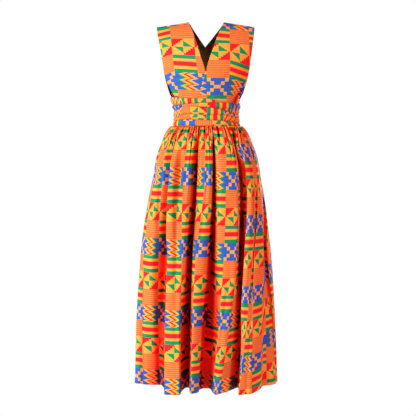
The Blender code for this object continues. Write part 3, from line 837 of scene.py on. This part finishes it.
def strapPrint(side, way, toArm, z):
    # The place in the print: the distance from the body's middle, and the way along
    # the strap from its front end, sheared and squeezed past each edge by soft steps.
    chart = {name: pair[side < 0] for name, pair in strapPrints.items()}
    drop, way = -z[:, None], way[:, None]
    front = np.maximum(way, 0)
    low = fade((drop - chart["lowFrom"]) / chart["lowFade"])
    past = np.maximum(toArm - chart["gatherEdge"] + chart["lowEdge"] * low, 0)
    taken = chart["pinch"] * low * np.maximum(toArm, 0)
    taken = taken + (chart["gather"] + chart["lowGather"] * low) * past
    leaning = chart["lean"] * (drop - chart["leanLevel"])
    leaning = leaning + chart["lowLean"] * np.maximum(drop - chart["lowFrom"], 0)
    u = chart["across"] + leaning - side * (toArm + taken)
    droop = chart["droop"] * fade((drop - chart["droopFrom"]) / chart["droopFade"])
    fromEdge = toArm - chart["droopEdge"]
    v = chart["down"] - way + (chart["droopTop"] + droop) * np.maximum(fromEdge, 0)
    v = v + chart["inner"] * np.maximum(-fromEdge, 0)
    v = v - chart["topLift"] * (1 - fade(front / chart["topReach"]))
    turned = chart["turn"] * np.maximum(toArm - chart["turnEdge"], 0)
    return u, v - turned * (1 - fade(front / chart["turnFade"]))


straps = (("strapLeftCloth", "strap_left", 1), ("strapRightCloth", "strap_right", -1))
for name, node, side in straps:
    points, way, toArm, z, paintedShadeDepth = strapPoints(side)
    piece = makeCloth(name, node, points, *strapPrint(side, way, toArm, z), paintedShadeDepth)
print("straps made")


# The straps' long ends are wound round the waist in five wraps.
wrapLook = {
    "rows": 22,
    "columns": 420,
    "slit": 0.0006,            # between one wrap and the next
    "gap": 0.0003,             # between a wrap and the band under it
    "wall": 0.0013,            # from there out to its face, before it bulges
    "climb": 0.0019,           # how far a wrap stands out over its own start
    "lap": math.radians(7),
    "bulge": 0.0055,
    "fullTall": 0.018,         # a wrap this tall bulges fully, and a narrow one less
    "leastTall": 0.15,         # but no less than this share
    "overStraps": 0.0050,      # how far the straps push out the wraps above this level
    "strapsEnd": -0.328,
    "strapsFade": 0.012,
    "streak": 0.0012,          # depth of the long pulls in a tight wrap
    "streaks": ((2.1, 0.30), (3.4, -0.22), (5.2, 0.15)),  # pulls across it, and their lean
    # a tuck counts as this much deeper for the painted shade in it
    "tuckShade": 14.0,
    "drawnFrom": -0.115,       # where along the front a wrap's cloth is drawn up
    "drawnFade": 0.06,
}
# The wraps' edges: angles round the waist (degrees), then each edge's level there.
wrapPlaces = (-180.0, -72.0, -38.0, 0.0, 32.0, 72.0, 180.0)
wrapEdges = (
    (-0.2850, -0.2810, -0.2850, -0.2880, -0.2985, -0.3060, -0.2850),
    (-0.3060, -0.3110, -0.3080, -0.3025, -0.3020, -0.3085, -0.3060),
    (-0.3270, -0.3300, -0.3160, -0.3195, -0.3300, -0.3480, -0.3270),
    (-0.3490, -0.3580, -0.3440, -0.3480, -0.3490, -0.3590, -0.3490),
    (-0.3700, -0.3700, -0.3645, -0.3680, -0.3700, -0.3790, -0.3700),
    (-0.3908, -0.3908, -0.3885, -0.3900, -0.3905, -0.3908, -0.3908),
)
# Small tucks at the top edge of a wrap, where the one above has lifted off, dark from their depth
# and from painted shade.
wrapTucks = (
    # wrap, angle and half width (degrees), how far down (share), depth (mm)
    (2, -4.5, 3.2, 0.22, 5.0),
    (2, 51.0, 9.0, 0.16, 5.0),
    (3, -52.0, 8.0, 0.10, 3.0),
    (2, 158.0, 7.0, 0.15, 4.0),
    (3, -128.0, 6.0, 0.14, 4.0),
)
# How full a wrap stands from its top edge to its bottom edge.
wrapRoll = ((0.0, 0.06), (0.18, 0.72), (0.5, 1.0), (0.82, 0.76), (1.0, 0.06))
wrapPrints = (
    # end angle, way of the print (1 reads down to the right), its start across
    # the front (m), how far across its strip the top edge lies (m), how much
    # cloth is pushed together across it (1 lies flat), and how much is drawn up
    # at the wearer's right side (m)
    (172.0, 1, -0.1620, 0.062, 1.0, 0.000),
    (-168.0, -1, -0.0940, 0.002, 0.6, 0.000),
    (176.0, -1, -0.1280, 0.006, 1.7, 0.028),
    (-173.0, -1, -0.1300, 0.026, 1.3, 0.010),
    (168.0, 1, -0.1070, 0.150, 1.6, 0.000),
)


def wrapPoints(number):
    # A band wound once round the waist, climbing slightly to lie on its own start,
    # rolled out between its edges, less long shallow pulls along it, which are
    # cosines with a wandering phase, and less the tucks, which are bell curves.
    look = wrapLook
    end = math.radians(wrapPrints[number][0])
    turn = 1 if end > 0 else -1
    share = np.linspace(0, 1, look["columns"])
    whole = 2 * math.pi + 2 * look["lap"]
    angle = np.sort(end + turn * whole * (share - 1) + turn * look["lap"])
    climb = look["climb"] * (share if turn > 0 else share[::-1])
    place = np.degrees((angle + math.pi) % (2 * math.pi) - math.pi)
    top = smoothRead(place, wrapPlaces, wrapEdges[number]) - look["slit"] / 2
    bottom = smoothRead(place, wrapPlaces, wrapEdges[number + 1]) + look["slit"] / 2
    down = np.linspace(0, 1, look["rows"])[:, None]
    z = top + (bottom - top) * down
    over = look["overStraps"] * fade((z - look["strapsEnd"]) / look["strapsFade"])
    tall = np.clip((top - bottom) / look["fullTall"], look["leastTall"], 1)
    roll = smoothRead(down, *np.array(wrapRoll).T)
    inside = np.sin(math.pi * down) ** 0.5
    pulls = np.zeros_like(z)
    for k, (rate, lean) in enumerate(look["streaks"]):
        path = rate * down + lean * drift(2.2 * angle + k, number + 1.0 + k)
        strength = 0.5 + 0.5 * drift(1.4 * angle + 2 * k, number + 3.0 * k)
        pulls += strength * np.cos(2 * math.pi * path) / (k + 1.2)
    out = look["gap"] + over + climb + look["bulge"] * roll * tall + look["wall"]
    out = out - look["streak"] * inside * tall * (0.8 + pulls)
    # painted shade in the tucks, by their depth
    paintedShadeDepth = np.zeros_like(z)
    for centre, half, reach, depth in (tuck[1:] for tuck in wrapTucks if tuck[0] == number):
        inward = depth / 1000 * np.exp(-((place - centre) / half) ** 2 - (down / reach) ** 2)
        out = out - inward
        paintedShadeDepth = paintedShadeDepth + look["tuckShade"] * inward
    return ringPoints(bodyOutline, z, angle, out), angle, paintedShadeDepth


for number, (_, way, start, across, pushed, drawnUp) in enumerate(wrapPrints):
    points, angle, paintedShadeDepth = wrapPoints(number)
    middle = points[len(points) // 2]
    run = np.concatenate([[0], np.cumsum(np.linalg.norm(np.diff(middle, axis=0), axis=1))])
    run -= np.interp(0.0, angle, run)
    drawn = drawnUp * (1 - fade((run - wrapLook["drawnFrom"]) / wrapLook["drawnFade"]))
    u = across - way * pushed * (points[0, :, 2] - points[..., 2])
    v = way * (run - start - drawn)
    piece = makeCloth("wrapCloth%d" % (number + 1), "wrap_%d" % (number + 1), points, u, v, paintedShadeDepth)
print("wraps made")


# A floor of matt paper far below the hem, soft light, and the camera.
stageLook = {
    "floorLevel": -2.000,
    "floorRadius": 1.150,
    "roughness": 0.9,
    "sheen": 0.0,
    "paper": "#EFF5F4",
    "paperGrain": "#ECF2F1",
    "grainScale": 60.0,        # mottles across a metre
    "skyStrength": 0.70,       # what lights the cloth from all round
    "skyTint": "#FF4A3A",      # warm, as light that has passed between the folds
    "boxTint": "#B4FAFF",
    "softBoxes": (             # name, place, power (W)
        ("leftBox", (-3.1, -2.9, 0.2), 290.0),
        ("rightBox", (3.9, -2.0, 0.5), 95.0),
        ("leftRearBox", (-3.6, 1.9, 0.5), 60.0),
        ("rightRearBox", (1.7, 3.8, 0.4), 180.0),
    ),
    "boxSize": (1.1, 2.4),
    "aim": (0.0, 0.0, -0.7),
}
corner = np.linspace(0, 2 * math.pi, 97)[:-1]
disc = np.stack([np.cos(corner), np.sin(corner), 0 * corner], -1) * stageLook["floorRadius"]
disc[:, 2] = stageLook["floorLevel"]
floorMesh = bpy.data.meshes.new("floor")
floorMesh.from_pydata(disc.tolist(), [], [list(range(len(disc)))])
# uncoated studio paper, pressed smooth: pale, quite matt, and faintly mottled
floorPaper, tree, shader = startMaterial("mattPaper", stageLook)
grain = addNode(tree, "TexNoise", {"Scale": stageLook["grainScale"]})
shade = addNode(tree, "ValToRGB", [grain.outputs[0]])
setRamp(shade.color_ramp, ((0.3, stageLook["paperGrain"]), (0.7, stageLook["paper"])))
tree.links.new(shade.outputs[0], shader.inputs["Base Color"])
floorMesh.materials.append(floorPaper)
floor = bpy.data.objects.new("floor", floorMesh)
bpy.context.scene.collection.objects.link(floor)

world = bpy.context.scene.world or bpy.data.worlds.new("studio")
bpy.context.scene.world = world
world.use_nodes = True
# a white backdrop for the eye, dimmer as a source of light
sky = world.node_tree.nodes["Background"]
seen = addNode(world.node_tree, "LightPath").outputs["Is Camera Ray"]
skyColours = {0: seen, 6: linear(stageLook["skyTint"]), 7: (1, 1, 1, 1)}
tint = addNode(world.node_tree, "Mix", skyColours, **mixed)
world.node_tree.links.new(tint.outputs[2], sky.inputs["Color"])
level = addNode(world.node_tree, "MapRange", [seen, 0.0, 1.0, stageLook["skyStrength"], 1.0])
world.node_tree.links.new(level.outputs[0], sky.inputs["Strength"])

# tall soft boxes at each side, so that light rakes across the folds
for name, place, power in stageLook["softBoxes"]:
    light = bpy.data.lights.new(name, "AREA")
    light.shape = "RECTANGLE"
    light.size, light.size_y = stageLook["boxSize"]
    light.energy = power
    light.color = linear(stageLook["boxTint"])[:3]
    lamp = bpy.data.objects.new(name, light)
    lamp.location = place
    aim = Vector(stageLook["aim"]) - Vector(place)
    lamp.rotation_euler = aim.to_track_quat("-Z", "Y").to_euler()
    bpy.context.scene.collection.objects.link(lamp)

cameraLook = {
    "lens": 101.9,             # mm, on a sensor 36 mm wide
    "place": (0.0057, -4.5, -0.395),
    "aimDrop": 0.308,          # how far below the camera it looks, at the dress
}
lens = bpy.data.cameras.new("camera")
lens.lens = cameraLook["lens"]
lens.sensor_width = 36
camera = bpy.data.objects.new("camera", lens)
camera.location = cameraLook["place"]
dip = math.atan2(cameraLook["aimDrop"], -cameraLook["place"][1])
camera.rotation_euler = (math.radians(90) - dip, 0, 0)
bpy.context.scene.collection.objects.link(camera)
bpy.context.scene.camera = camera
bpy.context.scene.view_settings.view_transform = "Standard"  # the inks keep their colours
print("floor, lights and camera made")
